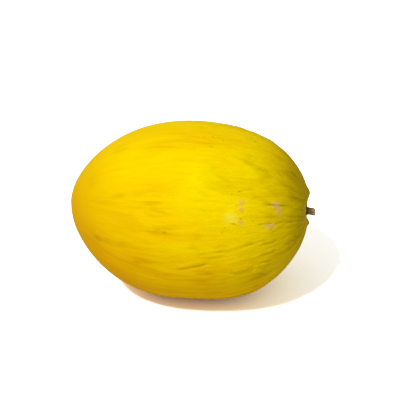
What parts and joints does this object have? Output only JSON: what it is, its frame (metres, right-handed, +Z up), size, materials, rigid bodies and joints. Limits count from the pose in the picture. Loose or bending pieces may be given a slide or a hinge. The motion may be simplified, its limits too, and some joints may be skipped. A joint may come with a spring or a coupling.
{
  "type": "melon",
  "caption": "Whole yellow canary melon lying on its side: egg-shaped fruit with shallow ribs, a puckered stem end and a short dry stem.",
  "frame": {"origin": "middle of the bounding box's underside, on the surface that the fruit rests on", "axes": "+X along the long axis towards the stem, +Z up"},
  "size_m": [0.208, 0.1542, 0.1487],
  "materials": {
    "rind": "waxy satin yellow rind, golden at the blossom end and green-yellow at the stem end, with fine lengthwise wrinkles and a few corky scars",
    "stem_bark": "matt, dry and fibrous, brown, darker at the root"
  },
  "bodies": {
    "root": {"fruit_body": "rind", "stem": "stem_bark"}
  },
  "joints": []
}
